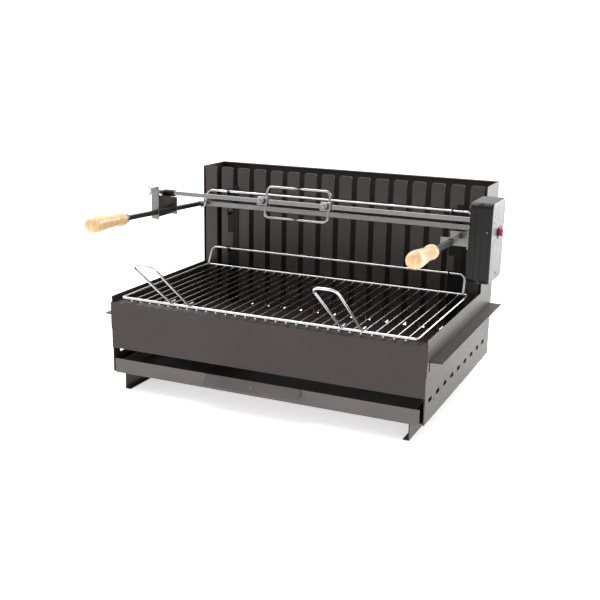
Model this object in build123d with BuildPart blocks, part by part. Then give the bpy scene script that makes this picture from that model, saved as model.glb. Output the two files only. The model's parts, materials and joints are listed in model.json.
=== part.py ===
# Charcoal rotisserie grill: sheet steel firebox with an upright slatted hearth,
# wire cooking grate, ash drawer and a battery driven spit carried on two arms.
# Millimetres. +X to the right, +Y to the back, +Z up, the feet stand on Z = 0.
# Shapes are drawn with X = 0 in the middle of the firebox and Y = 0 on its front face.
# Each piece is then moved once, so that the origin is under the middle of the whole model.
from build123d import *
from math import cos, pi, radians, sin
import os

os.makedirs("parts", exist_ok=True)

# ---------------------------------------------------------------- driving dimensions
# firebox
box_width = 600.0
box_depth = 436.0
sheet = 2.0
wall_bottom = 31.0
wall_top = 175.7
tower_top = 378.2
hearth_front = 343.0
front_low = 77.8
front_high = 164.7
front_flange = 25.0
return_tab = 9.0
return_low = 114.0
tab_thickness = 1.2
back_low = 75.0
back_flange = 8.0
back_leg = 50.0
runner_width = 26.0
runner_setback = 8.0
fit_gap = 0.3

# hearth
slat_count = 16
slat_width = 26.5
slat_thickness = 2.5
slat_corner = 4.0
floor_top = 92.0
floor_lip = 14.0
ash_slot_width = 10.0
ash_slot_margin = 6.0
crossbar_height = 12.0
crossbar_thickness = 3.0
crossbar_bottoms = (104.0, 296.0)

# side openings, support ledges and feet
vent_count = 9
vent_first = 31.0
vent_pitch = 44.5
vent_height = 68.0
vent_length = 19.0
vent_width = 8.0
ledge_width = 23.4
ledge_top = 138.5
ledge_depth = 18.0
ledge_front = 12.3
ledge_back = 426.0
foot_inset = 24.0
foot_flange = 11.0
foot_front = 4.0

# ash drawer
drawer_gaps = (3.4, 5.3)
drawer_length = 416.0
drawer_face_height = 27.0
drawer_wall_height = 22.0
drawer_wall_inset = 10.0
handle_offset = -10.0
handle_length = 184.0
handle_reach = 15.0
handle_drop = 17.0
rivet_radius = 3.2
rivet_height = 1.4

# cooking grate
grate_side_gap = 20.0
grate_front = 8.0
grate_back = 327.0
frame_wire = 4.5
rod_wire = 3.0
rod_count = 28
grate_corner = 4.0
grate_foot_height = 3.6
peg_drop = 11.0
rail_insets = (5.0, 10.0)
rail_foot_inset = 1.2
rail_lift = 36.0
rail_corner = 12.0
lift_wire = 4.6
lift_width = 37.0
lift_spread = 3.0
lift_reach = 96.0
lift_height = 84.7
lift_foot = 16.0
lift_bends = (7.0, 14.0)
lift_leans = (-19.0, -14.0)
lift_places = (-157.0, 168.0)

# hook racks
rack_width = 24.0
rack_window = 11.5
rack_window_height = 36.0
rack_insets = (70.5, 54.5)
hook_inset = 3.5
rack_head = 14.0
hook_thickness = 2.5
hook_height = 5.0
hook_tip = 8.0
hook_tip_thickness = 2.2
wire_slack = 0.5
rail_y = 336.7
carrier_rail_z = 329.5
spare_hook_z = 286.0

# spit carrier
carrier_wire = 5.0
carrier_insets = (12.0, 19.0)
carrier_corner = 16.0
cross_bar_height = 10.0
cross_bar_thickness = 4.0
cross_bar_z = 302.5
cross_bar_clearance = 2.0
ear_length = 22.0
ear_thickness = 3.0
arm_inset = 10.0
arm_size = 8.0
arm_tilt = 2.2
arm_pivot_z = 303.5
arm_tail = 8.0
arm_front = 44.0
tang_radius = 3.5
tang_length = 60.0
wood_length = 114.0
wood_start = 41.0
butt_radius = 14.6
waist_radius = 10.8
bead_radius = 11.8
neck_radius = 8.6
ferrule_length = 8.0
ferrule_wall = 1.2
bolt_radius = 3.0
head_radius = 5.0
head_height = 3.5
nut_height = 4.5
bolt_end = 1.5

# spit
spit_size = 8.0
spit_y = 173.0
spit_z = 344.5
spit_twist = 14.0
spit_end_left = 8.0
spit_end_right = 9.5
socket_clearance = 0.15
collar_length = 22.0
collar_gap = 9.0
collar_grooves = 14
fork_wire = 4.6
tine_half = 28.5
tine_length = 62.0
tine_corner = 9.0
tine_point = 9.0
clamp_width = 21.0
clamp_size = 16.0
clamp_gap = 0.35
fork_places = (-76.0, 50.0)
thumb_radius = 2.0
thumb_reach = 15.0
thumb_head_radius = 6.0
thumb_head_height = 4.0
thumb_tip = 3.0

# left spit rest
rest_web_offset = 10.0
rest_flange = 16.0
rest_front = 142.0
rest_back = 210.0
rest_low = 297.0
rest_high = 356.0
rest_step = 341.0
rest_back_high = 331.0
notch_gap = 1.2
slide_gap = 0.4
wing_y = 151.0
wing_z = 349.0
wing_shank = 2.5
wing_collar = 4.0
wing_span = 9.0
wing_root = 2.0
wing_thickness = 2.0

# motor bracket and case
bracket_sheet = 2.5
bracket_reach = 48.0
bracket_front = 139.0
bracket_back = 203.0
bracket_low = 304.6
bracket_high = 317.6
plate_low = 300.0
plate_high = 332.0
case_offset = 30.0
case_inner_depth = 22.0
case_outer_depth = 16.0
case_front = 140.0
case_back = 234.0
case_low = 242.0
case_high = 379.0
case_wall = 2.2
case_corner = 10.0
case_edge = 3.0
boss_radius = 3.0
screw_radius = 1.5
screw_inset = 8.5
screw_head_radius = 2.8
screw_head_height = 1.6
screw_depth = 9.0
groove_width = 1.2
groove_depth = 1.0
recess_width = 8.0
recess_height = 14.0
recess_bottom = 324.0
hub_boss = 1.8
dot_radius = 2.0
dot_columns = (159.0, 226.0)
dot_first = 326.0
dot_pitch = 10.0
dot_rows = 4
switch_y = 203.0
switch_z = 324.0
switch_length = 27.0
switch_height = 15.0
switch_depth = 13.0
switch_wall = 1.2
bezel_margin = 1.8
bezel_height = 1.2
rocker_gap = 0.5
rocker_rise = 6.0
cover_y = (149.0, 225.0)
cover_z = (248.0, 314.0)
cover_corner = 3.0
cover_gap = 0.4
latch_radius = 2.4
cell_radius = 16.2
cell_length = 56.0
cell_gap = 3.0
cell_spring_space = 6.0
cell_cap_radius = 4.8
cell_cap_height = 1.5
contact_width = 14.0
contact_thickness = 0.7
spring_wire = 1.4

# gear train
gear_module = 1.0
tooth_root = (1.2, 0.34)
tooth_pitch = (0.0, 0.215)
tooth_tip = (-0.9, 0.1)
wheel_teeth = 40
pinion_teeth = 10
gear_width = 5.0
drive_offset = 5.0
idler_offset = 11.0
hub_radius = 8.5
hub_nose = 4.0
hub_length = 14.5
hub_wall = 2.5
running_gap = 0.05
axle_radius = 2.0
axle_boss_wall = 2.0
axle_end_gap = 0.5
shaft_radius = 1.2
can_radius = 10.5
can_length = 17.5
can_gap = 1.0
shaft_inside = 8.0
motor_angle = 27.0

# ---------------------------------------------------------------- derived sizes
half_width = box_width / 2
inner_half = half_width - sheet
slat_pitch = box_width / slat_count
drawer_bottom = wall_bottom + sheet + fit_gap
grate_width = box_width - 2 * grate_side_gap
rod_z = front_high + fit_gap + grate_foot_height + rod_wire / 2
frame_z = rod_z + (frame_wire + rod_wire) / 2
grate_rail_z = frame_z + rail_lift
rack_places = (rack_insets[0] - half_width, half_width - rack_insets[1])
rod_pitch = grate_width / (rod_count + 1)
carrier_left = carrier_insets[0] - half_width
carrier_right = half_width - carrier_insets[1]
arm_x = half_width - arm_inset
rest_web_x = -arm_x - rest_web_offset
case_inner_x = arm_x + case_offset
case_split_x = case_inner_x + case_inner_depth
case_outer_x = case_split_x + case_outer_depth
drive_plane = case_inner_x + drive_offset
idler_plane = case_inner_x + idler_offset
spit_left = rest_web_x - spit_end_left
spit_right = case_inner_x + spit_end_right
notch_radius = spit_size / 2 * 2 ** 0.5 + notch_gap
cross_bar_y = rail_y - carrier_wire / 2 - wire_slack - hook_tip_thickness - cross_bar_clearance
arm_pivot_y = cross_bar_y - cross_bar_thickness - ear_length / 2
arm_forward = (0, -cos(radians(arm_tilt)), sin(radians(arm_tilt)))
axis_distance = gear_module * (wheel_teeth + pinion_teeth) / 2
idler_y = spit_y + axis_distance
idler_z = spit_z
motor_y = idler_y + axis_distance * cos(radians(motor_angle))
motor_z = idler_z + axis_distance * sin(radians(motor_angle))
spit_plane = Plane(
    origin=(0, spit_y, spit_z),
    x_dir=(0, cos(radians(spit_twist)), -sin(radians(spit_twist))),
    z_dir=(1, 0, 0),
)
sides = ((-1, "left"), (1, "right"))

# The origin lies under the middle of the whole model's box.
reach_front = lift_reach - grate_front
middle_x = (case_outer_x + bezel_height + rocker_rise - half_width - ledge_width) / 2
middle_y = (box_depth - reach_front) / 2
to_frame = Location((-middle_x, -middle_y, 0))


def block(x, y, z, mode=Mode.ADD):
    """Box between two corners, given as a pair of values along X, Y and Z."""
    with Locations((sum(x) / 2, sum(y) / 2, sum(z) / 2)):
        Box(abs(x[1] - x[0]), abs(y[1] - y[0]), abs(z[1] - z[0]), mode=mode)


def wire(points, diameter, radius, closed=False):
    """Round wire bent along straight runs, with the same bend at each corner."""
    with BuildLine() as route:
        FilletPolyline(*points, radius=radius, close=closed)
    with BuildSketch(Plane(origin=route.line @ 0, z_dir=route.line % 0)) as section:
        Circle(diameter / 2)
    sweep(section.sketch, path=route.line)


def gear_points(teeth, start_angle):
    """Outline of a spur gear with straight tooth flanks and a little backlash.

    A tooth corner is a depth under the pitch circle, in modules, and a share of the tooth pitch.
    """
    steps = (tooth_root, tooth_pitch, tooth_tip)
    corners = [(gear_module * (teeth / 2 - depth), share) for depth, share in steps]
    shape = [(radius, -share) for radius, share in corners]
    shape += [(radius, share) for radius, share in reversed(corners)]
    points = []
    for tooth in range(teeth):
        for radius, share in shape:
            angle = radians(start_angle) + (tooth + share) * 2 * pi / teeth
            points.append((radius * cos(angle), radius * sin(angle)))
    return points


def save(builder, name):
    """Move a finished piece into the model's frame and write it."""
    piece = builder.part.moved(to_frame)
    piece.label = name
    export_step(piece, f"parts/{name}.step")


# ---------------------------------------------------------------- firebox
for side, name in sides:
    with BuildPart() as side_panel:
        with BuildSketch(Plane.YZ.offset(side * half_width)):
            with BuildLine():
                Polyline(
                    (sheet, wall_bottom),
                    (box_depth - sheet, wall_bottom),
                    (box_depth - sheet, tower_top),
                    (hearth_front, tower_top),
                    (hearth_front, wall_top),
                    (sheet, wall_top),
                    close=True,
                )
            make_face()
        extrude(amount=-side * sheet)
        with BuildSketch(Plane.YZ.offset(side * half_width)):
            with Locations(*[(vent_first + k * vent_pitch, vent_height) for k in range(vent_count)]):
                SlotOverall(vent_length, vent_width)
        extrude(amount=-side * sheet, mode=Mode.SUBTRACT)
        block(
            (side * (half_width - runner_width), side * inner_half),
            (runner_setback, box_depth - sheet),
            (wall_bottom, wall_bottom + sheet),
        )
    save(side_panel, f"{name}_side_panel")

with BuildPart() as front_panel:
    block((-half_width, half_width), (0, sheet), (front_low, front_high))
    block(
        (-inner_half + fit_gap, inner_half - fit_gap),
        (sheet, front_flange),
        (front_high - sheet, front_high),
    )
    for side, name in sides:
        block(
            (side * half_width, side * (half_width + tab_thickness)),
            (0, return_tab),
            (return_low, front_high),
        )
save(front_panel, "front_panel")

with BuildPart() as back_panel:
    block((-half_width, half_width), (box_depth - sheet, box_depth), (back_low, tower_top))
    block(
        (-inner_half + fit_gap, inner_half - fit_gap),
        (box_depth - sheet - back_flange, box_depth - sheet),
        (tower_top - sheet, tower_top),
    )
    for side, name in sides:
        block(
            (side * (half_width - back_leg), side * half_width),
            (box_depth - sheet, box_depth),
            (wall_bottom, back_low),
        )
save(back_panel, "back_panel")

with BuildPart() as charcoal_floor:
    block(
        (-inner_half + fit_gap, inner_half - fit_gap),
        (sheet + fit_gap, box_depth - sheet - fit_gap),
        (floor_top - sheet, floor_top),
    )
    for side, name in sides:
        block(
            (side * (inner_half - fit_gap - sheet), side * (inner_half - fit_gap)),
            (front_flange, box_depth - front_flange),
            (floor_top - floor_lip, floor_top - sheet),
        )
    with BuildSketch(Plane.XY.offset(floor_top)):
        slot_length = box_depth - 2 * sheet - hearth_front - 2 * ash_slot_margin
        with Locations((0, hearth_front + ash_slot_margin + slot_length / 2)):
            with GridLocations(slat_pitch, 1, slat_count - 1, 1):
                Rectangle(ash_slot_width, slot_length)
    extrude(amount=-sheet, mode=Mode.SUBTRACT)
save(charcoal_floor, "charcoal_floor")

with BuildPart() as hearth_slats:
    with BuildSketch(Plane.XZ.offset(-hearth_front)):
        with GridLocations(slat_pitch, 1, slat_count, 1):
            with Locations((0, (floor_top + tower_top) / 2)):
                Rectangle(slat_width, tower_top - floor_top)
    extrude(amount=-slat_thickness)
    top_corners = hearth_slats.edges().filter_by(Axis.Y).group_by(Axis.Z)[-1]
    fillet(top_corners, slat_corner)
save(hearth_slats, "hearth_slats")

with BuildPart() as slat_crossbars:
    for bottom in crossbar_bottoms:
        block(
            (-inner_half + fit_gap, inner_half - fit_gap),
            (hearth_front + slat_thickness, hearth_front + slat_thickness + crossbar_thickness),
            (bottom, bottom + crossbar_height),
        )
save(slat_crossbars, "slat_crossbars")

for side, name in sides:
    with BuildPart() as support_ledge:
        block(
            (side * half_width, side * (half_width + ledge_width)),
            (ledge_front, ledge_back),
            (ledge_top - sheet, ledge_top),
        )
        block(
            (side * half_width, side * (half_width + sheet)),
            (ledge_front, ledge_back),
            (ledge_top - ledge_depth, ledge_top),
        )
    save(support_ledge, f"{name}_support_ledge")

for side, name in sides:
    foot_x = half_width - foot_inset
    with BuildPart() as foot_rail:
        block(
            (side * (foot_x - sheet), side * foot_x),
            (foot_front, box_depth - foot_front),
            (0, wall_bottom),
        )
        block(
            (side * (foot_x - foot_flange), side * foot_x),
            (foot_front, box_depth - foot_front),
            (0, sheet),
        )
    save(foot_rail, f"{name}_foot_rail")

# Hook racks: a plate with windows, and hooks folded forward out of them.
hook_heights = (grate_rail_z - frame_wire / 2, spare_hook_z, carrier_rail_z - carrier_wire / 2)
plate_front = hearth_front - sheet
tip_front = rail_y - carrier_wire / 2 - wire_slack - hook_tip_thickness
for (side, name), place in zip(sides, rack_places):
    rack_edge = place - rack_width / 2
    hook_x = rack_edge + hook_inset
    with BuildPart() as hook_rack:
        block(
            (rack_edge, rack_edge + rack_width),
            (plate_front, hearth_front),
            (floor_top, hook_heights[-1] + rack_head),
        )
        for height in hook_heights:
            seat = height - fit_gap
            block(
                (rack_edge, rack_edge + rack_window),
                (plate_front, hearth_front),
                (seat, seat + rack_window_height),
                mode=Mode.SUBTRACT,
            )
            block(
                (hook_x, hook_x + hook_thickness),
                (tip_front, plate_front),
                (seat - hook_height, seat),
            )
            block(
                (hook_x, hook_x + hook_thickness),
                (tip_front, tip_front + hook_tip_thickness),
                (seat, seat + hook_tip),
            )
    save(hook_rack, f"{name}_hook_rack")

# ---------------------------------------------------------------- ash drawer
drawer_x = (drawer_gaps[0] - inner_half, inner_half - drawer_gaps[1])
drawer_inside = (drawer_x[0] + drawer_wall_inset, drawer_x[1] - drawer_wall_inset)
face_top = wall_bottom + drawer_face_height
lip_slope = (handle_reach**2 + handle_drop**2) ** 0.5
lip_normal = (-handle_drop / lip_slope, handle_reach / lip_slope)
with BuildPart() as ash_drawer:
    block(drawer_x, (0, sheet), (wall_bottom, face_top))
    block(drawer_inside, (sheet, drawer_length), (drawer_bottom, drawer_bottom + drawer_wall_height))
    block(
        (drawer_inside[0] + sheet, drawer_inside[1] - sheet),
        (sheet, drawer_length - sheet),
        (drawer_bottom + sheet, drawer_bottom + drawer_wall_height),
        mode=Mode.SUBTRACT,
    )
    with BuildSketch(Plane.YZ.offset(handle_offset - handle_length / 2)):
        with BuildLine():
            Polyline(
                (0, face_top),
                (-handle_reach, face_top - handle_drop),
                (-handle_reach - lip_normal[0] * sheet, face_top - handle_drop - lip_normal[1] * sheet),
                (0, face_top - sheet / lip_normal[1]),
                close=True,
            )
        make_face()
    extrude(amount=handle_length)
save(ash_drawer, "ash_drawer")

with BuildPart() as handle_rivet:
    rivet_plane = Plane(
        origin=(handle_offset, -handle_reach / 2, face_top - handle_drop / 2),
        x_dir=(1, 0, 0),
        z_dir=(0, *lip_normal),
    )
    with BuildSketch(rivet_plane):
        Circle(rivet_radius)
    extrude(amount=rivet_height)
save(handle_rivet, "handle_rivet")

# ---------------------------------------------------------------- cooking grate
side_x = grate_width / 2
with BuildPart() as grate_frame:
    wire(
        (
            (-side_x, grate_front, frame_z),
            (side_x, grate_front, frame_z),
            (side_x, grate_back, frame_z),
            (-side_x, grate_back, frame_z),
        ),
        frame_wire,
        grate_corner,
        closed=True,
    )
save(grate_frame, "grate_frame")

rod_places = [(k - (rod_count - 1) / 2) * rod_pitch for k in range(rod_count)]
with BuildPart() as grate_rods:
    with BuildSketch(Plane.XZ.offset(-grate_front)):
        with Locations(*[(place, rod_z) for place in rod_places]):
            Circle(rod_wire / 2)
    extrude(amount=grate_front - grate_back - frame_wire / 2)
save(grate_rods, "grate_rods")

# Pegs under the rods stop the grate behind the front flange, and a wire joins their ends.
peg_y = front_flange + fit_gap + rod_wire / 2
peg_top = rod_z - rod_wire / 2
with BuildPart() as grate_stop_pegs:
    with BuildSketch(Plane.XY.offset(peg_top)):
        with Locations(*[(place, peg_y) for place in rod_places]):
            Circle(rod_wire / 2)
    extrude(amount=-peg_drop)
save(grate_stop_pegs, "grate_stop_pegs")

with BuildPart() as grate_stop_wire:
    with BuildSketch(Plane.YZ.offset(rod_places[0] - rod_wire)):
        with Locations((peg_y, peg_top - peg_drop - rod_wire / 2)):
            Circle(rod_wire / 2)
    extrude(amount=rod_places[-1] - rod_places[0] + 2 * rod_wire)
save(grate_stop_wire, "grate_stop_wire")

with BuildPart() as grate_front_feet:
    with BuildSketch(Plane.XY.offset(peg_top)):
        with Locations(*[(place, front_flange / 2) for place in (rod_places[0], rod_places[-1])]):
            Circle(rod_wire / 2)
    extrude(amount=-grate_foot_height)
save(grate_front_feet, "grate_front_feet")

rail_left = rail_insets[0] - side_x
rail_right = side_x - rail_insets[1]
rail_foot_y = grate_back - rail_foot_inset
rail_foot_z = frame_z + frame_wire / 2
with BuildPart() as grate_back_rail:
    wire(
        (
            (rail_foot_inset - side_x, rail_foot_y, rail_foot_z),
            (rail_left, rail_y, grate_rail_z),
            (rail_right, rail_y, grate_rail_z),
            (rail_right, rail_foot_y, rail_foot_z),
        ),
        frame_wire,
        rail_corner,
    )
save(grate_back_rail, "grate_back_rail")

for (side, name), place, lean in zip(sides, lift_places, lift_leans):
    low_y = grate_front - lift_wire
    low_z = frame_z + (frame_wire + lift_wire) / 2
    top_y = grate_front - lift_reach + lift_wire / 2
    top_z = low_z + lift_height
    half_low = lift_width / 2
    half_top = lift_width / 2 + lift_spread
    with BuildPart() as lift_handle:
        wire(
            (
                (place - half_low, low_y + lift_foot, low_z),
                (place - half_low, low_y, low_z),
                (place - half_top + lean, top_y, top_z),
                (place + half_top + lean, top_y, top_z),
                (place + half_low, low_y, low_z),
                (place + half_low, low_y + lift_foot, low_z),
            ),
            lift_wire,
            (lift_bends[0], lift_bends[1], lift_bends[1], lift_bends[0]),
        )
    save(lift_handle, f"{name}_lift_handle")

# ---------------------------------------------------------------- spit carrier
with BuildPart() as carrier_rail:
    leg_y = cross_bar_y + carrier_wire / 2
    wire(
        (
            (carrier_left, leg_y, cross_bar_z),
            (carrier_left, rail_y, carrier_rail_z),
            (carrier_right, rail_y, carrier_rail_z),
            (carrier_right, leg_y, cross_bar_z),
        ),
        carrier_wire,
        carrier_corner,
    )
save(carrier_rail, "carrier_rail")

bar_low = cross_bar_z - cross_bar_height / 2
bar_high = cross_bar_z + cross_bar_height / 2
arm_inner = arm_x - arm_size / 2
ear_inner = arm_inner - ear_thickness
with BuildPart() as cross_bar:
    block((-arm_inner, arm_inner), (cross_bar_y - cross_bar_thickness, cross_bar_y), (bar_low, bar_high))
    for side, name in sides:
        block(
            (side * ear_inner, side * arm_inner),
            (cross_bar_y - cross_bar_thickness - ear_length, cross_bar_y - cross_bar_thickness),
            (bar_low, bar_high),
        )
        with BuildSketch(Plane.YZ.offset(side * arm_inner)):
            with Locations((arm_pivot_y, arm_pivot_z)):
                Circle(bolt_radius + running_gap)
        extrude(amount=-side * ear_thickness, mode=Mode.SUBTRACT)
save(cross_bar, "cross_bar")

arm_length = (arm_pivot_y - arm_front) / cos(radians(arm_tilt))
wood_offset = (arm_pivot_y - wood_start) / cos(radians(arm_tilt))
for side, name in sides:
    across = Plane(origin=(side * arm_x, arm_pivot_y, arm_pivot_z), x_dir=(1, 0, 0), z_dir=arm_forward)
    with BuildPart() as carrier_arm:
        with BuildSketch(across.offset(-arm_tail)):
            Rectangle(arm_size, arm_size)
        extrude(amount=arm_length + arm_tail)
        with BuildSketch(across.offset(arm_length)):
            Circle(tang_radius)
        extrude(amount=tang_length)
        with BuildSketch(Plane.YZ.offset(side * (arm_x + arm_size / 2))):
            with Locations((arm_pivot_y, arm_pivot_z)):
                Circle(bolt_radius + running_gap)
        extrude(amount=-side * arm_size, mode=Mode.SUBTRACT)
    save(carrier_arm, f"{name}_carrier_arm")

    lathe = Plane(
        origin=across.origin + across.z_dir * wood_offset,
        x_dir=across.z_dir,
        z_dir=(1, 0, 0),
    )
    with BuildPart() as wood_handle:
        with BuildSketch(lathe):
            with BuildLine():
                Line((wood_length, 0), (0, 0))
                Line((0, 0), (0, neck_radius - ferrule_wall))
                Line((0, neck_radius - ferrule_wall), (ferrule_length, neck_radius - ferrule_wall))
                Line((ferrule_length, neck_radius - ferrule_wall), (ferrule_length, neck_radius))
                Spline(
                    (ferrule_length, neck_radius),
                    (0.2 * wood_length, bead_radius),
                    (0.33 * wood_length, waist_radius - 0.6),
                    (0.4 * wood_length, waist_radius),
                    (0.86 * wood_length, butt_radius),
                    tangents=((0.5, 1), (1, 0)),
                )
                Spline((0.86 * wood_length, butt_radius), (wood_length, 0), tangents=((1, 0), (0, -1)))
            make_face()
        revolve(axis=Axis(lathe.origin, lathe.x_dir))
        with BuildSketch(across.offset(wood_offset)):
            Circle(tang_radius + running_gap)
        extrude(amount=tang_length, mode=Mode.SUBTRACT)
    save(wood_handle, f"{name}_wood_handle")

with BuildPart() as arm_ferrules:
    for side, name in sides:
        across = Plane(origin=(side * arm_x, arm_pivot_y, arm_pivot_z), x_dir=(1, 0, 0), z_dir=arm_forward)
        with BuildSketch(across.offset(wood_offset)):
            Circle(neck_radius)
            Circle(neck_radius - ferrule_wall + running_gap, mode=Mode.SUBTRACT)
        extrude(amount=ferrule_length - fit_gap)
save(arm_ferrules, "arm_ferrules")

with BuildPart() as arm_bolts:
    for side, name in sides:
        with BuildSketch(Plane.YZ.offset(side * (arm_x + arm_size / 2))):
            with Locations((arm_pivot_y, arm_pivot_z)):
                Circle(head_radius)
        extrude(amount=side * head_height)
        with BuildSketch(Plane.YZ.offset(side * (arm_x + arm_size / 2))):
            with Locations((arm_pivot_y, arm_pivot_z)):
                Circle(bolt_radius)
        extrude(amount=-side * (arm_size + ear_thickness + nut_height + bolt_end))
        with BuildSketch(Plane.YZ.offset(side * ear_inner)):
            with Locations((arm_pivot_y, arm_pivot_z)):
                RegularPolygon(head_radius, 6)
        extrude(amount=-side * nut_height)
save(arm_bolts, "arm_bolts")

# ---------------------------------------------------------------- left spit rest
arm_hole = arm_size + 2 * slide_gap
with BuildPart() as spit_rest:
    block((rest_web_x, rest_web_x + sheet), (rest_front, rest_back), (rest_low, rest_step))
    block((rest_web_x, rest_web_x + sheet), (rest_front, spit_y), (rest_low, rest_high))
    block((rest_web_x, rest_web_x + rest_flange), (rest_front, rest_front + sheet), (rest_low, rest_high))
    block((rest_web_x, rest_web_x + rest_flange), (rest_back - sheet, rest_back), (rest_low, rest_back_high))
    across = Plane(origin=(-arm_x, arm_pivot_y, arm_pivot_z), x_dir=(1, 0, 0), z_dir=arm_forward)
    with BuildSketch(across):
        Rectangle(arm_hole, arm_hole)
    extrude(amount=arm_length, mode=Mode.SUBTRACT)
    with BuildSketch(Plane.YZ.offset(rest_web_x)):
        with Locations((spit_y, spit_z)):
            Circle(notch_radius)
        with Locations((spit_y, spit_z + notch_radius)):
            Rectangle(2 * notch_radius, 2 * notch_radius)
    extrude(amount=sheet, mode=Mode.SUBTRACT)
    with BuildSketch(Plane.YZ.offset(rest_web_x)):
        with Locations((wing_y, wing_z)):
            Circle(wing_shank + running_gap)
    extrude(amount=sheet, mode=Mode.SUBTRACT)
save(spit_rest, "spit_rest")

wing_shank_length = 9.0
wing_hub_length = 7.0
with BuildPart() as wing_screw:
    with BuildSketch(Plane.YZ.offset(rest_web_x - running_gap)):
        with Locations((wing_y, wing_z)):
            Circle(wing_shank)
    extrude(amount=wing_shank_length)
    with BuildSketch(Plane.YZ.offset(rest_web_x - running_gap)):
        with Locations((wing_y, wing_z)):
            Circle(wing_collar)
    extrude(amount=-wing_hub_length)
    with BuildSketch(Plane.XZ.offset(wing_thickness / 2 - wing_y)):
        with BuildLine():
            for turn in (-1, 1):
                Polyline(
                    (rest_web_x - 0.4 * wing_hub_length, wing_z + turn * wing_root),
                    (rest_web_x - 0.8 * wing_hub_length, wing_z + turn * wing_span),
                    (rest_web_x - 1.8 * wing_hub_length, wing_z + turn * wing_span),
                    (rest_web_x - wing_hub_length, wing_z + turn * wing_root),
                    close=True,
                )
        make_face()
    extrude(amount=-wing_thickness)
save(wing_screw, "wing_screw")

# ---------------------------------------------------------------- motor bracket and case
with BuildPart() as motor_bracket:
    web_inner = case_inner_x - bracket_sheet
    block((web_inner, case_inner_x), (bracket_front, bracket_back), (plate_low, plate_high))
    for front in (bracket_front, bracket_back - bracket_sheet):
        block(
            (case_inner_x - bracket_reach, web_inner),
            (front, front + bracket_sheet),
            (bracket_low, bracket_high),
        )
    across = Plane(origin=(arm_x, arm_pivot_y, arm_pivot_z), x_dir=(1, 0, 0), z_dir=arm_forward)
    with BuildSketch(across):
        Rectangle(arm_hole, arm_hole)
    extrude(amount=arm_length, mode=Mode.SUBTRACT)
save(motor_bracket, "motor_bracket")

case_y = (case_front + case_back) / 2
case_z = (case_low + case_high) / 2
case_length = case_back - case_front
case_height = case_high - case_low
idler_place = (idler_y, idler_z)
screw_places = (
    (case_front + screw_inset, case_low + screw_inset),
    (case_back - screw_inset, case_low + screw_inset),
    (case_front + screw_inset, case_high - screw_inset),
    (case_back - screw_inset, case_high - screw_inset),
)
with BuildPart() as case_inner_half:
    with BuildSketch(Plane.YZ.offset(case_inner_x)):
        with Locations((case_y, case_z)):
            RectangleRounded(case_length, case_height, case_corner)
    extrude(amount=case_split_x - case_inner_x)
    with BuildSketch(Plane.YZ.offset(case_inner_x + case_wall)):
        with Locations((case_y, case_z)):
            RectangleRounded(case_length - 2 * case_wall, case_height - 2 * case_wall, case_corner - case_wall)
    extrude(amount=case_split_x - case_inner_x - case_wall, mode=Mode.SUBTRACT)
    with BuildSketch(Plane.YZ.offset(case_inner_x + case_wall)):
        with Locations((spit_y, spit_z)):
            Circle(hub_radius + hub_wall)
    extrude(amount=hub_boss)
    with BuildSketch(Plane.YZ.offset(case_inner_x)):
        with Locations((spit_y, spit_z)):
            Circle(hub_radius + running_gap)
    extrude(amount=case_wall + hub_boss, mode=Mode.SUBTRACT)
    with BuildSketch(Plane.YZ.offset(case_inner_x + case_wall)):
        with Locations(idler_place):
            Circle(axle_radius + axle_boss_wall)
    extrude(amount=drive_plane - case_inner_x - case_wall - axle_end_gap)
    with BuildSketch(Plane.YZ.offset(case_inner_x + case_wall)):
        with Locations(*screw_places):
            Circle(boss_radius)
    extrude(amount=case_split_x - case_inner_x - case_wall)
    with BuildSketch(Plane.YZ.offset(case_inner_x)):
        with Locations(*screw_places):
            Circle(screw_radius + 2 * running_gap)
        with Locations(idler_place):
            Circle(axle_radius)
    extrude(amount=case_split_x - case_inner_x, mode=Mode.SUBTRACT)
    block(
        ((case_inner_x + case_split_x - groove_width) / 2, (case_inner_x + case_split_x + groove_width) / 2),
        (case_front, case_front + groove_depth),
        (case_low + case_corner, case_high - case_corner),
        mode=Mode.SUBTRACT,
    )
save(case_inner_half, "case_inner_half")

with BuildPart() as case_outer_half:
    with BuildSketch(Plane.YZ.offset(case_split_x)):
        with Locations((case_y, case_z)):
            RectangleRounded(case_length, case_height, case_corner)
    extrude(amount=case_outer_x - case_split_x)
    fillet(case_outer_half.faces().sort_by(Axis.X)[-1].edges(), case_edge)
    with BuildSketch(Plane.YZ.offset(case_split_x)):
        with Locations((case_y, case_z)):
            RectangleRounded(case_length - 2 * case_wall, case_height - 2 * case_wall, case_corner - case_wall)
    extrude(amount=case_outer_x - case_split_x - case_wall, mode=Mode.SUBTRACT)
    with BuildSketch(Plane.YZ.offset(case_split_x)):
        with Locations(*screw_places):
            Circle(boss_radius)
    extrude(amount=case_outer_x - case_split_x - case_wall)
    with BuildSketch(Plane.YZ.offset(case_split_x)):
        with Locations(*screw_places):
            Circle(screw_radius)
    extrude(amount=screw_depth, mode=Mode.SUBTRACT)
    with BuildSketch(Plane.YZ.offset(case_outer_x)):
        with Locations(*[(y, dot_first + k * dot_pitch) for y in dot_columns for k in range(dot_rows)]):
            Circle(dot_radius)
        with Locations((switch_y, switch_z)):
            Rectangle(switch_length, switch_height)
        with Locations((sum(cover_y) / 2, sum(cover_z) / 2)):
            RectangleRounded(
                cover_y[1] - cover_y[0] + 2 * cover_gap,
                cover_z[1] - cover_z[0] + 2 * cover_gap,
                cover_corner + cover_gap,
            )
    extrude(amount=-case_wall, mode=Mode.SUBTRACT)
    block(
        ((case_split_x + case_outer_x - recess_width) / 2, (case_split_x + case_outer_x + recess_width) / 2),
        (case_front, case_front + groove_depth),
        (recess_bottom, recess_bottom + recess_height),
        mode=Mode.SUBTRACT,
    )
save(case_outer_half, "case_outer_half")

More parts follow.
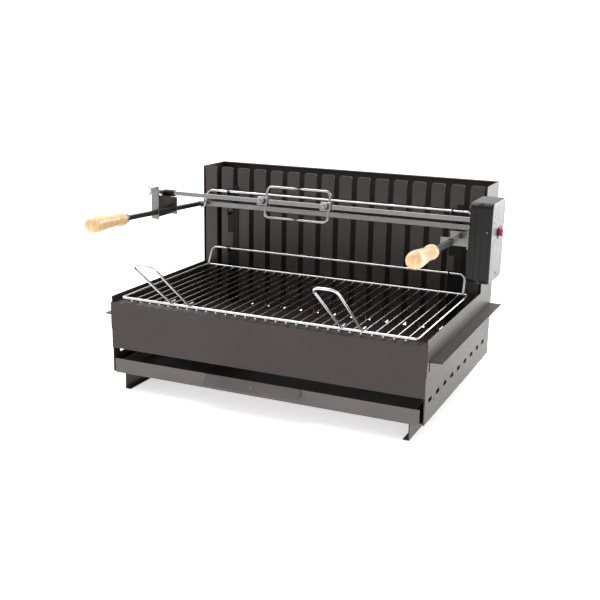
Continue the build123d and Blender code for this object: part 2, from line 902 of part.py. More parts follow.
with BuildPart() as case_screws:
    for place in screw_places:
        with BuildSketch(Plane.YZ.offset(case_inner_x)):
            with Locations(place):
                Circle(screw_radius)
        extrude(amount=case_split_x - case_inner_x + screw_depth - 1)
        with BuildSketch(Plane.YZ.offset(case_inner_x)):
            with Locations(place):
                Circle(screw_head_radius)
        extrude(amount=-screw_head_height)
save(case_screws, "case_screws")

with BuildPart() as battery_cover:
    with BuildSketch(Plane.YZ.offset(case_outer_x - case_wall)):
        with Locations((sum(cover_y) / 2, sum(cover_z) / 2)):
            RectangleRounded(cover_y[1] - cover_y[0], cover_z[1] - cover_z[0], cover_corner)
    extrude(amount=case_wall)
    with BuildSketch(Plane.YZ.offset(case_outer_x)):
        with Locations((sum(cover_y) / 2, cover_z[0] + 3 * latch_radius)):
            Circle(latch_radius)
    extrude(amount=-case_wall, mode=Mode.SUBTRACT)
save(battery_cover, "battery_cover")

cell_x = (case_inner_x + case_wall + case_outer_x - case_wall) / 2
cell_low = case_low + case_wall + cell_spring_space
cell_top = cell_low + cell_length
cell_places = (case_y - cell_radius - cell_gap / 2, case_y + cell_radius + cell_gap / 2)
with BuildPart() as battery_cells:
    with BuildSketch(Plane.XY.offset(cell_low)):
        with Locations(*[(cell_x, place) for place in cell_places]):
            Circle(cell_radius)
    extrude(amount=cell_length)
    with BuildSketch(Plane.XY.offset(cell_top)):
        with Locations(*[(cell_x, place) for place in cell_places]):
            Circle(cell_cap_radius)
    extrude(amount=cell_cap_height)
save(battery_cells, "battery_cells")

with BuildPart() as battery_contacts:
    for place in cell_places:
        block(
            (cell_x - contact_width / 2, cell_x + contact_width / 2),
            (place - contact_width / 2, place + contact_width / 2),
            (cell_top + cell_cap_height, cell_top + cell_cap_height + contact_thickness),
        )
        with BuildSketch(Plane.XY.offset(case_low + case_wall)):
            with Locations((cell_x, place)):
                Circle(contact_width / 2)
                Circle(contact_width / 2 - spring_wire, mode=Mode.SUBTRACT)
        extrude(amount=cell_low - case_low - case_wall)
save(battery_contacts, "battery_contacts")

half_length = switch_length / 2
half_height = switch_height / 2
switch_back = case_outer_x - case_wall - switch_depth
with BuildPart() as switch_housing:
    block(
        (switch_back, case_outer_x - case_wall),
        (switch_y - half_length - switch_wall, switch_y + half_length + switch_wall),
        (switch_z - half_height - switch_wall, switch_z + half_height + switch_wall),
    )
    block(
        (case_outer_x - case_wall, case_outer_x),
        (switch_y - half_length + cover_gap / 4, switch_y + half_length - cover_gap / 4),
        (switch_z - half_height + cover_gap / 4, switch_z + half_height - cover_gap / 4),
    )
    block(
        (case_outer_x, case_outer_x + bezel_height),
        (switch_y - half_length - bezel_margin, switch_y + half_length + bezel_margin),
        (switch_z - half_height - bezel_margin, switch_z + half_height + bezel_margin),
    )
    block(
        (switch_back + 2 * switch_wall, case_outer_x + bezel_height),
        (switch_y - half_length + switch_wall, switch_y + half_length - switch_wall),
        (switch_z - half_height + switch_wall, switch_z + half_height - switch_wall),
        mode=Mode.SUBTRACT,
    )
save(switch_housing, "switch_housing")

with BuildPart() as rocker_switch:
    rocker_reach = half_length - switch_wall - rocker_gap
    rocker_root = case_outer_x - case_wall
    rocker_top = case_outer_x + bezel_height
    with BuildSketch(Plane.XY.offset(switch_z - half_height + switch_wall + rocker_gap)):
        with BuildLine():
            Polyline(
                (rocker_root, switch_y - rocker_reach + rocker_gap),
                (rocker_top + rocker_rise, switch_y - rocker_reach + rocker_gap),
                (rocker_top + rocker_rise / 2, switch_y),
                (rocker_top + rocker_rise / 4, switch_y + rocker_reach - rocker_gap),
                (rocker_root, switch_y + rocker_reach - rocker_gap),
                close=True,
            )
        make_face()
    extrude(amount=switch_height - 2 * switch_wall - 2 * rocker_gap)
save(rocker_switch, "rocker_switch")

# ---------------------------------------------------------------- gear train
with BuildPart() as drive_gear:
    with BuildSketch(Plane.YZ.offset(drive_plane)):
        with Locations((spit_y, spit_z)):
            Polygon(*gear_points(wheel_teeth, 0), align=None)
    extrude(amount=gear_width)
    with BuildSketch(Plane.YZ.offset(case_inner_x - hub_nose)):
        with Locations((spit_y, spit_z)):
            Circle(hub_radius)
    extrude(amount=hub_length)
    with BuildSketch(spit_plane.offset(case_inner_x - hub_nose)):
        Rectangle(spit_size + 2 * socket_clearance, spit_size + 2 * socket_clearance)
    extrude(amount=hub_length, mode=Mode.SUBTRACT)
save(drive_gear, "drive_gear")

with BuildPart() as idler_gear:
    with BuildSketch(Plane.YZ.offset(drive_plane)):
        with Locations(idler_place):
            Polygon(*gear_points(pinion_teeth, 180 / pinion_teeth), align=None)
    extrude(amount=idler_plane - drive_plane)
    with BuildSketch(Plane.YZ.offset(idler_plane)):
        with Locations(idler_place):
            Polygon(*gear_points(wheel_teeth, 0), align=None)
    extrude(amount=gear_width)
    with BuildSketch(Plane.YZ.offset(drive_plane)):
        with Locations(idler_place):
            Circle(axle_radius + running_gap)
    extrude(amount=idler_plane - drive_plane + gear_width, mode=Mode.SUBTRACT)
save(idler_gear, "idler_gear")

with BuildPart() as idler_axle:
    with BuildSketch(Plane.YZ.offset(case_inner_x + axle_end_gap)):
        with Locations(idler_place):
            Circle(axle_radius)
    extrude(amount=case_outer_x - case_wall - case_inner_x - 2 * axle_end_gap)
save(idler_axle, "idler_axle")

can_front = idler_plane + gear_width + can_gap
shaft_back = can_front + shaft_inside
with BuildPart() as motor_pinion:
    with BuildSketch(Plane.YZ.offset(idler_plane)):
        with Locations((motor_y, motor_z)):
            Polygon(*gear_points(pinion_teeth, motor_angle + 180 + 180 / pinion_teeth), align=None)
    extrude(amount=gear_width)
    with BuildSketch(Plane.YZ.offset(idler_plane)):
        with Locations((motor_y, motor_z)):
            Circle(shaft_radius)
    extrude(amount=shaft_back - idler_plane)
save(motor_pinion, "motor_pinion")

with BuildPart() as dc_motor:
    with BuildSketch(Plane.YZ.offset(can_front)):
        with Locations((motor_y, motor_z)):
            Circle(can_radius)
    extrude(amount=can_length)
    with BuildSketch(Plane.YZ.offset(can_front)):
        with Locations((motor_y, motor_z)):
            Circle(shaft_radius + running_gap)
    extrude(amount=shaft_inside + axle_end_gap, mode=Mode.SUBTRACT)
save(dc_motor, "dc_motor")

# ---------------------------------------------------------------- spit and forks
with BuildPart() as spit_rod:
    with BuildSketch(spit_plane.offset(spit_left)):
        Rectangle(spit_size, spit_size)
    extrude(amount=spit_right - spit_left)
save(spit_rod, "spit_rod")

collar_radius = notch_radius - rocker_gap
collar_left = rest_web_x + sheet + collar_gap
with BuildPart() as spit_collar:
    with BuildSketch(spit_plane.offset(collar_left)):
        Circle(collar_radius)
        with PolarLocations(collar_radius, collar_grooves):
            Circle(rocker_gap, mode=Mode.SUBTRACT)
        Rectangle(spit_size, spit_size, mode=Mode.SUBTRACT)
    extrude(amount=collar_length)
save(spit_collar, "spit_collar")

for (side, name), place in zip(sides, fork_places):
    facing = -side
    with BuildPart() as fork_clamp:
        with BuildSketch(spit_plane.offset(place - clamp_width / 2)):
            Rectangle(clamp_size, clamp_size)
            Rectangle(spit_size + 2 * clamp_gap, spit_size + 2 * clamp_gap, mode=Mode.SUBTRACT)
        extrude(amount=clamp_width)
        with BuildSketch(Plane(spit_plane.offset(place).origin, x_dir=(1, 0, 0), z_dir=spit_plane.x_dir)):
            Circle(thumb_radius + running_gap)
        extrude(amount=-clamp_size, mode=Mode.SUBTRACT)
    save(fork_clamp, f"{name}_fork_clamp")

    fork_plane = Plane(
        spit_plane.offset(place).origin + spit_plane.x_dir * (clamp_size / 2 + fork_wire / 2),
        x_dir=(1, 0, 0),
        z_dir=spit_plane.x_dir,
    )
    tip_x = facing * (tine_length - tine_point)
    route = [
        fork_plane.from_local_coords((tip_x, tine_half, 0)),
        fork_plane.from_local_coords((0, tine_half, 0)),
        fork_plane.from_local_coords((0, -tine_half, 0)),
        fork_plane.from_local_coords((tip_x, -tine_half, 0)),
    ]
    with BuildPart() as fork_tines:
        wire(route, fork_wire, tine_corner)
        for turn in (-1, 1):
            tip = fork_plane.from_local_coords((tip_x, turn * tine_half, 0))
            with BuildSketch(Plane(tip, z_dir=(facing, 0, 0))):
                Circle(fork_wire / 2)
            with BuildSketch(Plane(tip, z_dir=(facing, 0, 0)).offset(tine_point)):
                Circle(0.4)
            loft()
    save(fork_tines, f"{name}_fork_tines")

    screw_plane = Plane(
        spit_plane.offset(place).origin - spit_plane.x_dir * (spit_size / 2 + clamp_gap / 2),
        x_dir=(1, 0, 0),
        z_dir=-spit_plane.x_dir,
    )
    with BuildPart() as fork_screw:
        with BuildSketch(screw_plane):
            Circle(thumb_radius)
        extrude(amount=thumb_reach)
        with BuildSketch(screw_plane.offset(thumb_reach - thumb_tip - thumb_head_height)):
            Circle(thumb_head_radius)
        extrude(amount=thumb_head_height)
    save(fork_screw, f"{name}_fork_screw")
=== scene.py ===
# Looks of the charcoal rotisserie grill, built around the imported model. Metres.
import json
import math

import bmesh
import bpy
from mathutils import Matrix, Vector


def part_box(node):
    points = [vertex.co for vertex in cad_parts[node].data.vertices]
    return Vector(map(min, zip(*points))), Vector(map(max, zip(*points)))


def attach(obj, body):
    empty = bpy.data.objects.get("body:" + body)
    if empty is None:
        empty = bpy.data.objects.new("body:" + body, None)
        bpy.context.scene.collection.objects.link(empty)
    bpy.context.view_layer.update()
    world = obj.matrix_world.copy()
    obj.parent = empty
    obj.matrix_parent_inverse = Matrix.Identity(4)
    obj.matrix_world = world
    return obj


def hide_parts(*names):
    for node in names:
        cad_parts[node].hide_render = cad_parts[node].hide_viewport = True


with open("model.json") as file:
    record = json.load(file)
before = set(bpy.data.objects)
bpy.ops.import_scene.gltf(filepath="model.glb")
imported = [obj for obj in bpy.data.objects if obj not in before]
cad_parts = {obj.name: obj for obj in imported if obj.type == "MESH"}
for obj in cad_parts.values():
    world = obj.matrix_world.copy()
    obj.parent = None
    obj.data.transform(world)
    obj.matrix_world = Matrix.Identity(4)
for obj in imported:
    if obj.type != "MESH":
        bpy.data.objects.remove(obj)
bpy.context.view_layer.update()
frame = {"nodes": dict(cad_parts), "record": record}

# ---------------------------------------------------------------- places taken from the frame
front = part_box("front_panel")
box_middle = (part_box("back_panel")[0][0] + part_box("back_panel")[1][0]) / 2
front_face = front[0][1]
MM = 0.001


# ---------------------------------------------------------------- materials
class Shader:
    """A material's node tree, with short calls for the nodes it is built from."""

    def __init__(self, name, colour=(0.8, 0.8, 0.8), metallic=0.0, roughness=0.5):
        self.material = bpy.data.materials.new(name)
        self.material.use_nodes = True
        self.tree = self.material.node_tree
        self.main = self.tree.nodes["Principled BSDF"]
        self.set(Metallic=metallic, Roughness=roughness)
        self.main.inputs["Base Color"].default_value = (*colour, 1)
        self.place = self.node("ShaderNodeTexCoord").outputs["Object"]
        self.height = None

    def set(self, **values):
        for key, value in values.items():
            self.main.inputs[key.replace("_", " ")].default_value = value

    def node(self, kind, **values):
        made = self.tree.nodes.new(kind)
        for key, value in values.items():
            if hasattr(made, key):
                setattr(made, key, value)
            else:
                made.inputs[key.replace("_", " ")].default_value = value
        return made

    def link(self, source, target):
        self.tree.links.new(source, target)

    def stretched(self, scale):
        """Object coordinates scaled by a different factor along each axis."""
        mapping = self.node("ShaderNodeMapping")
        mapping.inputs["Scale"].default_value = scale
        self.link(self.place, mapping.inputs["Vector"])
        return mapping.outputs["Vector"]

    def noise(self, scale, detail=3.0, roughness=0.5, place=None, distortion=0.0):
        made = self.node(
            "ShaderNodeTexNoise", Scale=scale, Detail=detail, Roughness=roughness, Distortion=distortion
        )
        self.link(place or self.place, made.inputs["Vector"])
        return made.outputs["Fac"]

    def ramp(self, source, *stops):
        """Colour ramp with (position, grey or colour) stops."""
        made = self.node("ShaderNodeValToRGB")
        elements = made.color_ramp.elements
        while len(elements) < len(stops):
            elements.new(0.5)
        for element, (position, value) in zip(elements, stops):
            element.position = position
            element.color = (value, value, value, 1) if isinstance(value, float) else (*value, 1)
        self.link(source, made.inputs["Fac"])
        return made.outputs["Color"]

    def colour(self, source):
        self.link(source, self.main.inputs["Base Color"])

    def roughness(self, source):
        self.link(source, self.main.inputs["Roughness"])

    def bump(self, source, distance, strength=1.0):
        """Adds a bump over the ones before it."""
        made = self.node("ShaderNodeBump", Distance=distance, Strength=strength)
        self.link(source, made.inputs["Height"])
        if self.height:
            self.link(self.height, made.inputs["Normal"])
        self.height = made.outputs["Normal"]
        self.link(self.height, self.main.inputs["Normal"])


def powder_coat(name, colour, roughness, grain=0.06, gloss=0.5):
    """Stoved powder coat: fine orange peel, faint cloudiness and a little dust in the gloss."""
    made = Shader(name, colour, 0.0, roughness)
    made.set(Specular_IOR_Level=gloss)
    cloud = made.noise(9.0, 4.0, 0.6)
    dark = tuple(c * 0.86 for c in colour)
    light = tuple(c * 1.14 for c in colour)
    made.colour(made.ramp(cloud, (0.3, dark), (0.7, light)))
    made.roughness(made.ramp(made.noise(140.0, 3.0), (0.2, roughness - 0.05), (0.8, roughness + 0.06)))
    made.bump(made.noise(900.0, 2.0), 0.00012, grain * 4)
    made.bump(made.noise(28.0, 2.0), 0.0006, grain)
    return made.material


def plated_wire(name, colour, roughness):
    """Bright plating over drawn wire: faint ripples and small dull spots."""
    made = Shader(name, colour, 1.0, roughness)
    made.roughness(made.ramp(made.noise(160.0, 4.0, 0.7), (0.35, roughness), (0.8, roughness + 0.14)))
    made.colour(made.ramp(made.noise(60.0), (0.2, tuple(c * 0.86 for c in colour)), (0.8, colour)))
    made.bump(made.noise(420.0, 2.0), 0.0001, 0.12)
    return made.material


def zinc(name, colour, roughness):
    """Zinc plated sheet: spangle, rolling streaks and dull patches."""
    made = Shader(name, colour, 1.0, roughness)
    spangle = made.node("ShaderNodeTexVoronoi", Scale=240.0)
    made.link(made.place, spangle.inputs["Vector"])
    streaks = made.noise(14.0, 5.0, 0.6, made.stretched((4.0, 1.0, 60.0)))
    made.colour(made.ramp(streaks, (0.3, tuple(c * 0.7 for c in colour)), (0.7, colour)))
    made.roughness(made.ramp(spangle.outputs["Distance"], (0.0, roughness - 0.08), (1.0, roughness + 0.12)))
    made.bump(streaks, 0.0001, 0.2)
    return made.material


def turned_beech(name):
    """Varnished beech, the grain along the handle and rays across it."""
    made = Shader(name, (0.8, 0.5, 0.25), 0.0, 0.32)
    grain = made.noise(26.0, 6.0, 0.6, made.stretched((6.0, 0.55, 6.0)), 0.6)
    flecks = made.noise(300.0, 3.0, 0.5, made.stretched((3.0, 0.4, 3.0)))
    base = made.ramp(grain, (0.3, (0.70, 0.40, 0.17)), (0.55, (0.86, 0.58, 0.30)), (0.75, (0.95, 0.74, 0.45)))
    mix = made.node("ShaderNodeMix", data_type="RGBA", blend_type="MULTIPLY")
    mix.inputs["Factor"].default_value = 0.25
    made.link(base, mix.inputs["A"])
    made.link(made.ramp(flecks, (0.42, (0.55, 0.38, 0.25)), (0.52, (1.0, 1.0, 1.0))), mix.inputs["B"])
    made.colour(mix.outputs["Result"])
    made.set(Coat_Weight=0.35, Coat_Roughness=0.18)
    made.bump(flecks, 0.00008, 0.3)
    return made.material


def moulded_plastic(name, colour, roughness, grain=0.25, gloss=0.5):
    """Moulded plastic with a fine spark-eroded grain."""
    made = Shader(name, colour, 0.0, roughness)
    made.set(Specular_IOR_Level=gloss)
    made.roughness(made.ramp(made.noise(90.0), (0.2, roughness - 0.05), (0.8, roughness + 0.07)))
    made.colour(made.ramp(made.noise(30.0), (0.2, tuple(c * 0.9 for c in colour)), (0.8, colour)))
    made.bump(made.noise(1500.0, 2.0), 0.00008, grain)
    return made.material


materials = {
    "black_coat": powder_coat("black_coat_satin", (0.036, 0.024, 0.0225), 0.42, gloss=0.42),
    "slat_coat": powder_coat("slat_coat_satin", (0.036, 0.027, 0.0245), 0.40, gloss=0.5),
    # Near-black coat: on the hook racks it is partly their dark paint and partly painted shade of the dark
    # blocks between the slats; in the motor case's sound holes it is painted shade.
    "rack_coat": powder_coat("near_black_coat_painted_shade", (0.004, 0.0035, 0.0035), 0.42, gloss=0.2),
    "drawer_coat": powder_coat("drawer_coat_satin", (0.115, 0.098, 0.098), 0.38),
    "chrome_wire": plated_wire("chrome_wire_bright", (0.68, 0.68, 0.70), 0.12),
    # Rods and bar are darker copies of the same chrome plating: painted reflection of darker surroundings.
    "chrome_rods": plated_wire("chrome_rods_darkened_painted_reflection", (0.48, 0.47, 0.47), 0.2),
    "chrome_bar": plated_wire("chrome_bar_darkened_painted_reflection", (0.44, 0.43, 0.43), 0.12),
    "zinc_plate": zinc("zinc_plate_dull", (0.25, 0.24, 0.235), 0.34),
    "black_arm": powder_coat("black_arm_coat", (0.02, 0.02, 0.02), 0.45),
    "steel": zinc("steel_plain", (0.5, 0.5, 0.51), 0.3),
    "beech": turned_beech("beech_varnished"),
    "black_plastic": moulded_plastic("black_plastic_grained", (0.006, 0.006, 0.0065), 0.30, gloss=0.3),
    "red_plastic": moulded_plastic("red_plastic_glossy", (0.72, 0.03, 0.10), 0.2, 0.05),
    "gear_plastic": moulded_plastic("gear_plastic_white", (0.8, 0.77, 0.7), 0.4),
    "cell_jacket": moulded_plastic("cell_jacket_glossy", (0.1, 0.14, 0.24), 0.25, 0.05),
    "contact_metal": zinc("contact_metal_plated", (0.72, 0.55, 0.3), 0.3),
}
slots = {entry["node"]: entry["material_slot"] for entry in frame["record"]["subparts"]}
joints = {joint["name"]: joint for joint in frame["record"]["behaviour"]["joints"]}
for node_name, node_object in frame["nodes"].items():
    node_object.data.materials.clear()
    node_object.data.materials.append(materials[slots[node_name]])


# ---------------------------------------------------------------- rounded sheet and bar edges
def round_edges(node, width, segments=2, angle=32):
    """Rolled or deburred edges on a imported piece, which catch the light as a thin line."""
    weld = frame["nodes"][node].modifiers.new("weld", "WELD")
    weld.merge_threshold = 0.00001
    bevel = frame["nodes"][node].modifiers.new("bevel", "BEVEL")
    bevel.width = width
    bevel.segments = segments
    bevel.limit_method = "ANGLE"
    bevel.angle_limit = math.radians(angle)
    bevel.harden_normals = True


EDGE_WIDTHS = {
    "hearth_slats": 0.0007,
    "front_panel": 0.0005,
    "back_panel": 0.0005,
    "left_side_panel": 0.0004,
    "right_side_panel": 0.0004,
    "charcoal_floor": 0.0004,
    "left_support_ledge": 0.0005,
    "right_support_ledge": 0.0005,
    "left_foot_rail": 0.0005,
    "right_foot_rail": 0.0005,
    "left_hook_rack": 0.0004,
    "right_hook_rack": 0.0004,
    "ash_drawer": 0.0005,
    "cross_bar": 0.0006,
    "left_carrier_arm": 0.0007,
    "right_carrier_arm": 0.0007,
    "spit_rod": 0.0007,
    "left_fork_clamp": 0.0011,
    "right_fork_clamp": 0.0011,
    "spit_rest": 0.0004,
    "motor_bracket": 0.0005,
    "case_inner_half": 0.0018,
    "switch_housing": 0.0004,
    "rocker_switch": 0.0006,
    "battery_cover": 0.0005,
    "arm_bolts": 0.0006,
    "arm_ferrules": 0.0003,
}
for edge_node, edge_width in EDGE_WIDTHS.items():
    round_edges(edge_node, edge_width)


# ---------------------------------------------------------------- mesh tools
def turned_matrix(origin, axis):
    """Placement with the local Z axis along the given direction."""
    return Matrix.Translation(origin) @ Vector(axis).to_track_quat("Z", "Y").to_matrix().to_4x4()


def add_piece(name, mesh_tool, material_slot, body, place=None, sharp=35):
    """Turns a finished bmesh into a piece that rides on a body."""
    mesh = bpy.data.meshes.new(name)
    bmesh.ops.recalc_face_normals(mesh_tool, faces=mesh_tool.faces)
    mesh_tool.to_mesh(mesh)
    mesh_tool.free()
    mesh.shade_smooth()
    mesh.set_sharp_from_angle(angle=math.radians(sharp))
    mesh.materials.append(materials[material_slot])
    piece = bpy.data.objects.new(name, mesh)
    if place:
        piece.matrix_world = place
    bpy.context.collection.objects.link(piece)
    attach(piece, body)
    return piece


def lathe(mesh_tool, profile, steps=40, start=0.0, ripple=None):
    """Turns (distance along Z, radius) points about Z; ripple(step) scales the radius."""
    rings = []
    for along, radius in profile:
        ring = []
        for k in range(steps):
            angle = 2 * math.pi * k / steps
            reach = radius * (ripple(k) if ripple else 1.0)
            point = (reach * math.cos(angle), reach * math.sin(angle), start + along)
            ring.append(mesh_tool.verts.new(point))
        rings.append(ring)
    for low, high in zip(rings, rings[1:]):
        for k in range(steps):
            after = (k + 1) % steps
            mesh_tool.faces.new((low[k], low[after], high[after], high[k]))
    mesh_tool.faces.new(list(reversed(rings[0])))
    mesh_tool.faces.new(rings[-1])


def smooth_profile(points, parts=5):
    """Rounded curve through (distance, radius) points, as a turner's tool would leave it."""
    padded = [points[0], *points, points[-1]]
    curve = []
    for before, a, b, after in zip(padded, padded[1:], padded[2:], padded[3:]):
        for k in range(parts):
            t = k / parts
            point = []
            for p, q, r, s in zip(before, a, b, after):
                square = (2 * p - 5 * q + 4 * r - s) * t * t
                cube = (3 * q - p - 3 * r + s) * t**3
                point.append(0.5 * (2 * q + (r - p) * t + square + cube))
            curve.append(tuple(point))
    curve.append(points[-1])
    return curve


# ---------------------------------------------------------------- turned wooden handles
arm_axis = Vector(joints["motor_travel"]["axis"]).normalized()
# Distance from the inner end of the wood, and radius, in millimetres.
HANDLE_PROFILE = (
    (8.0, 9.6), (9.2, 11.0), (12.5, 12.1), (18.0, 12.4), (24.0, 12.1), (28.5, 11.0), (30.2, 10.0),
    (31.4, 10.4), (34.0, 10.9), (41.0, 11.2), (53.0, 11.8), (67.0, 12.8), (83.0, 14.0), (95.0, 14.5),
    (103.0, 14.0), (109.0, 12.2), (112.3, 9.2), (113.6, 5.2), (114.0, 0.4),
)
SOCKET_START = 0.0002
SOCKET_RADIUS = 0.0072
for side in ("left", "right"):
    arm_low, arm_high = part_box(f"{side}_carrier_arm")
    wood_low, wood_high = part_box(f"{side}_wood_handle")
    arm_middle = (arm_low + arm_high) / 2
    start = arm_middle + arm_axis * ((wood_high.y - arm_middle.y) / arm_axis.y)
    length_scale = (wood_high.y - wood_low.y) / (HANDLE_PROFILE[-1][0] * MM)
    tool = bmesh.new()
    turned = [(along * MM * length_scale, radius * MM) for along, radius in HANDLE_PROFILE]
    socket = [(SOCKET_START, SOCKET_RADIUS), (turned[0][0], SOCKET_RADIUS)]
    lathe(tool, [*socket, *smooth_profile(turned)], 56)
    handle = add_piece(f"{side}_turned_handle", tool, "beech", "carrier", turned_matrix(start, arm_axis))
    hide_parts(f"{side}_wood_handle")


# ---------------------------------------------------------------- knurled screws of the spit forks
def knurl(step):
    """Every other point of a ring lies deeper, as the valley between two ridges."""
    return 1.0 if step % 2 else 0.9


SCREW_SHANK = ((-3.7, 1.4), (-3.2, 1.95), (4.0, 1.95))
SCREW_HEAD = ((4.2, 4.6), (4.9, 6.0), (7.5, 6.0), (8.2, 4.9), (8.25, 3.2), (11.0, 3.0), (11.2, 2.4))
for side in ("left", "right"):
    joint = joints[f"{side}_fork_screw_turn"]
    tool = bmesh.new()
    lathe(tool, [(along * MM, radius * MM) for along, radius in SCREW_SHANK], 24)
    lathe(tool, [(along * MM, radius * MM) for along, radius in SCREW_HEAD], 44, ripple=knurl)
    place = turned_matrix(joint["pos_m"], joint["axis"])
    screw = add_piece(f"{side}_knurled_screw", tool, "steel", f"{side}_fork_screw", place)
    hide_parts(f"{side}_fork_screw")

# ---------------------------------------------------------------- wing screw of the left rest
wing_centre = Vector(joints["wing_screw_turn"]["pos_m"])
THREAD_START = -0.0088
THREAD_STEP = 0.0005
CREST_RADIUS = 0.0024
ROOT_RADIUS = 0.00215
WING_HEIGHT = 0.0098
WING_REACH = 0.0060
WING_RADII = (0.0030, 0.0029)
WING_HALF_THICKNESS = 0.0009
WING_ARC_POINTS = 15
tool = bmesh.new()
thread = [(THREAD_START + k * THREAD_STEP, CREST_RADIUS if k % 2 else ROOT_RADIUS) for k in range(18)]
lathe(tool, thread, 20)
lathe(tool, [(0.0001, 0.0038), (0.0006, 0.0040), (0.0044, 0.0036), (0.0068, 0.0026), (0.0070, 0.0012)], 28)
for turn in (-1, 1):
    outline = []
    for k in range(WING_ARC_POINTS):
        angle = math.pi * (k / (WING_ARC_POINTS - 1) - 0.5)
        height = WING_HEIGHT + WING_RADII[0] * math.sin(angle)
        reach = WING_REACH + WING_RADII[1] * math.cos(angle)
        outline.append((height, turn * reach))
    outline += [(0.0068, turn * 0.0018), (0.0026, turn * 0.0018)]
    lower = [tool.verts.new((-WING_HALF_THICKNESS, reach, height)) for height, reach in outline]
    upper = [tool.verts.new((WING_HALF_THICKNESS, reach, height)) for height, reach in outline]
    tool.faces.new(lower)
    tool.faces.new(list(reversed(upper)))
    for k in range(len(lower)):
        after = (k + 1) % len(lower)
        tool.faces.new((lower[k], upper[k], upper[after], lower[after]))
wing = add_piece("wing_screw_cast", tool, "steel", "wing_screw", turned_matrix(wing_centre, (-1, 0, 0)), 50)
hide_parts("wing_screw")

# ---------------------------------------------------------------- rivet of the drawer handle
rivet_low, rivet_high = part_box("handle_rivet")
LIP_AXIS = Vector((0, -0.750, 0.662))
RIVET_SINK = 0.0007
RIVET_HEAD = (
    (0, 0.0032), (0.0004, 0.0032), (0.0009, 0.0027), (0.0012, 0.0018), (0.0010, 0.0011), (0.0004, 0.0009),
)
rivet_middle = (rivet_low + rivet_high) / 2
tool = bmesh.new()
lathe(tool, RIVET_HEAD, 32)
place = turned_matrix(rivet_middle - LIP_AXIS * RIVET_SINK, LIP_AXIS)
rivet = add_piece("pop_rivet", tool, "zinc_plate", "ash_drawer", place)
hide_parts("handle_rivet")

# ---------------------------------------------------------------- weld beads of the grate
rods_low, rods_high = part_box("grate_rods")
frame_low, frame_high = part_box("grate_frame")
wire_half = (frame_high.z - frame_low.z) / 2
rod_half = (rods_high.z - rods_low.z) / 2
ROD_COUNT = 28
BEAD_INSET = 1.7
BEAD_SIZE = (0.0019, 0.0020, 0.0013)
BEAD_SPREAD = 0.0003
tool = bmesh.new()
for k in range(ROD_COUNT):
    bead_x = rods_low.x + rod_half + k * (rods_high.x - rods_low.x - 2 * rod_half) / (ROD_COUNT - 1)
    for bead_y in (frame_low.y + BEAD_INSET * wire_half, frame_high.y - BEAD_INSET * wire_half):
        bead_size = (BEAD_SIZE[0] + BEAD_SPREAD * math.sin(7 * k), BEAD_SIZE[1], BEAD_SIZE[2])
        bead_place = Matrix.Translation((bead_x, bead_y, rods_high.z)) @ Matrix.Diagonal((*bead_size, 1))
        bmesh.ops.create_icosphere(tool, subdivisions=2, radius=1, matrix=bead_place)
add_piece("grate_weld_beads", tool, "chrome_rods", "grate")

# ---------------------------------------------------------------- mouldings of the motor case
case_low, case_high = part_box("case_inner_half")
outer_low, outer_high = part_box("case_outer_half")


def upright_bead(mesh_tool, x, y, z_low, z_high, radius):
    """Rounded moulding that stands upright on the front of the case."""
    length = z_high - z_low
    profile = [(0, radius * 0.2), (radius, radius), (length - radius, radius), (length, radius * 0.2)]
    before = len(mesh_tool.verts)
    lathe(mesh_tool, profile, 14, z_low)
    mesh_tool.verts.ensure_lookup_table()
    for vert in mesh_tool.verts[before:]:
        vert.co.x += x
        vert.co.y += y


BEAD_RADIUS = 0.0008
BEAD_SINK = 0.0002
BEAD_END_GAP = 0.008
tool = bmesh.new()
for bead_x in (case_low.x + 0.0045, case_high.x - 0.0012, outer_high.x - 0.0042):
    upright_bead(
        tool, bead_x, case_low.y + BEAD_SINK, case_low.z + BEAD_END_GAP, case_high.z - BEAD_END_GAP, BEAD_RADIUS
    )
add_piece("case_front_beads", tool, "black_plastic", "motor_carriage")

tool = bmesh.new()
RECESS_DEPTH = 0.0012
RECESS_HEIGHT = 0.089
RECESS_SCREW = ((0, 0.0018), (0.0008, 0.0018), (0.0012, 0.0014), (0.0012, 0.0008), (0.0006, 0.0006))
recess_x = (outer_low.x + outer_high.x) / 2
recess_middle = Vector((recess_x, outer_low.y + RECESS_DEPTH, outer_low.z + RECESS_HEIGHT))
lathe(tool, RECESS_SCREW, 24)
add_piece("recess_screw", tool, "zinc_plate", "motor_carriage", turned_matrix(recess_middle, (0, -1, 0)))

# ---------------------------------------------------------------- sound holes of the motor case: near-black cups in the holes, painted shade of their depth
DOT_COLUMNS = (0.0190, 0.0860)
DOT_RIM = ((-0.0004, 0.0016), (0.0001, 0.0018), (0.00015, 0.0012), (-0.0002, 0.0005))
DOT_FIRST, DOT_PITCH, DOT_ROWS = 0.0840, 0.0100, 4
tool = bmesh.new()
for column in DOT_COLUMNS:
    for row in range(DOT_ROWS):
        dimple = bmesh.new()
        lathe(dimple, DOT_RIM, 20)
        middle = (outer_high.x, outer_low.y + column, outer_low.z + DOT_FIRST + row * DOT_PITCH)
        bmesh.ops.transform(dimple, matrix=turned_matrix(middle, (1, 0, 0)), verts=dimple.verts)
        dimple_mesh = bpy.data.meshes.new("dimple")
        dimple.to_mesh(dimple_mesh)
        dimple.free()
        tool.from_mesh(dimple_mesh)
# The near-black coat on these cups is painted shade inside the sound holes.
add_piece("case_sound_holes_painted_shade", tool, "rack_coat", "motor_carriage")

# ---------------------------------------------------------------- floor, lights and camera
def stage_floor():
    """Wide white floor with a slight glow, which keeps the shadow under the object soft."""
    bpy.ops.mesh.primitive_plane_add(size=30)
    floor = bpy.context.object
    floor.name = "floor"
    made = Shader("floor_white", (0.9, 0.9, 0.9), 0.0, 0.35)
    made.colour(made.ramp(made.noise(1.5), (0.2, (0.93, 0.93, 0.94)), (0.8, (0.96, 0.96, 0.96))))
    made.set(Emission_Color=(1, 1, 1, 1), Emission_Strength=0.58)
    floor.data.materials.append(made.material)


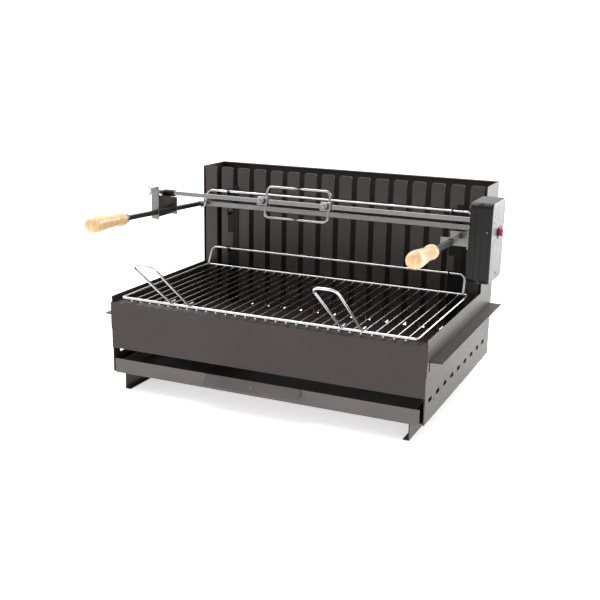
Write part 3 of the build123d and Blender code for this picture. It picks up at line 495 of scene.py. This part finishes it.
def area_light(name, place, target, size, power):
    """Soft rectangular lamp, which isn't itself seen by the camera."""
    light = bpy.data.lights.new(name, "AREA")
    light.shape = "RECTANGLE"
    light.size, light.size_y = size
    light.energy = power
    lamp = bpy.data.objects.new(name, light)
    lamp.location = place
    lamp.rotation_euler = (Vector(target) - Vector(place)).to_track_quat("-Z", "Y").to_euler()
    lamp.visible_camera = False
    bpy.context.collection.objects.link(lamp)


def world_light():
    """Surroundings that are bright behind the object and dimmer in front of it."""
    world = bpy.data.worlds.new("studio")
    bpy.context.scene.world = world
    world.use_nodes = True
    tree = world.node_tree
    direction = tree.nodes.new("ShaderNodeTexCoord")
    parts = tree.nodes.new("ShaderNodeSeparateXYZ")
    ramp = tree.nodes.new("ShaderNodeValToRGB")
    tree.links.new(direction.outputs["Generated"], parts.inputs["Vector"])
    tree.links.new(parts.outputs["Y"], ramp.inputs["Fac"])
    tree.links.new(ramp.outputs["Color"], tree.nodes["Background"].inputs["Color"])
    for element, (position, grey) in zip(ramp.color_ramp.elements, ((0.0, 0.62), (0.4, 1.0))):
        element.position = position
        element.color = (grey, grey, grey, 1)
    tree.nodes["Background"].inputs["Strength"].default_value = 1.15


CAMERA_AZIMUTH = 23.84
CAMERA_ELEVATION = 14.86
CAMERA_ROLL = 1.1
CAMERA_DISTANCE = 1.8592
CAMERA_LENS = 57.9
AIM_FROM_BOX = Vector((-0.0226, 0.2263, 0.150))


def studio_camera():
    """Camera in front of the right corner, turned slightly about its own axis."""
    azimuth, elevation = math.radians(CAMERA_AZIMUTH), math.radians(CAMERA_ELEVATION)
    back = Vector((
        math.sin(azimuth) * math.cos(elevation),
        -math.cos(azimuth) * math.cos(elevation),
        math.sin(elevation),
    ))
    aim = Vector((box_middle, front_face, 0)) + AIM_FROM_BOX
    camera = bpy.data.objects.new("camera", bpy.data.cameras.new("camera"))
    right = Vector((0, 0, 1)).cross(back).normalized()
    up = back.cross(right)
    turn = Matrix((right, up, back)).transposed().to_4x4()
    roll = Matrix.Rotation(math.radians(CAMERA_ROLL), 4, "Z")
    camera.matrix_world = Matrix.Translation(aim + back * CAMERA_DISTANCE) @ turn @ roll
    camera.data.lens = CAMERA_LENS
    camera.data.sensor_width = 36
    bpy.context.collection.objects.link(camera)
    bpy.context.scene.camera = camera


stage_floor()
world_light()
area_light("right_back", (1.35, 2.1, 0.75), (0.25, 0.0, 0.1), (1.6, 1.5), 30)
area_light("left_top", (-1.2, 0.4, 2.6), (0, 0, 0.1), (2.4, 2.4), 70)
studio_camera()
bpy.context.scene.view_settings.view_transform = "Standard"
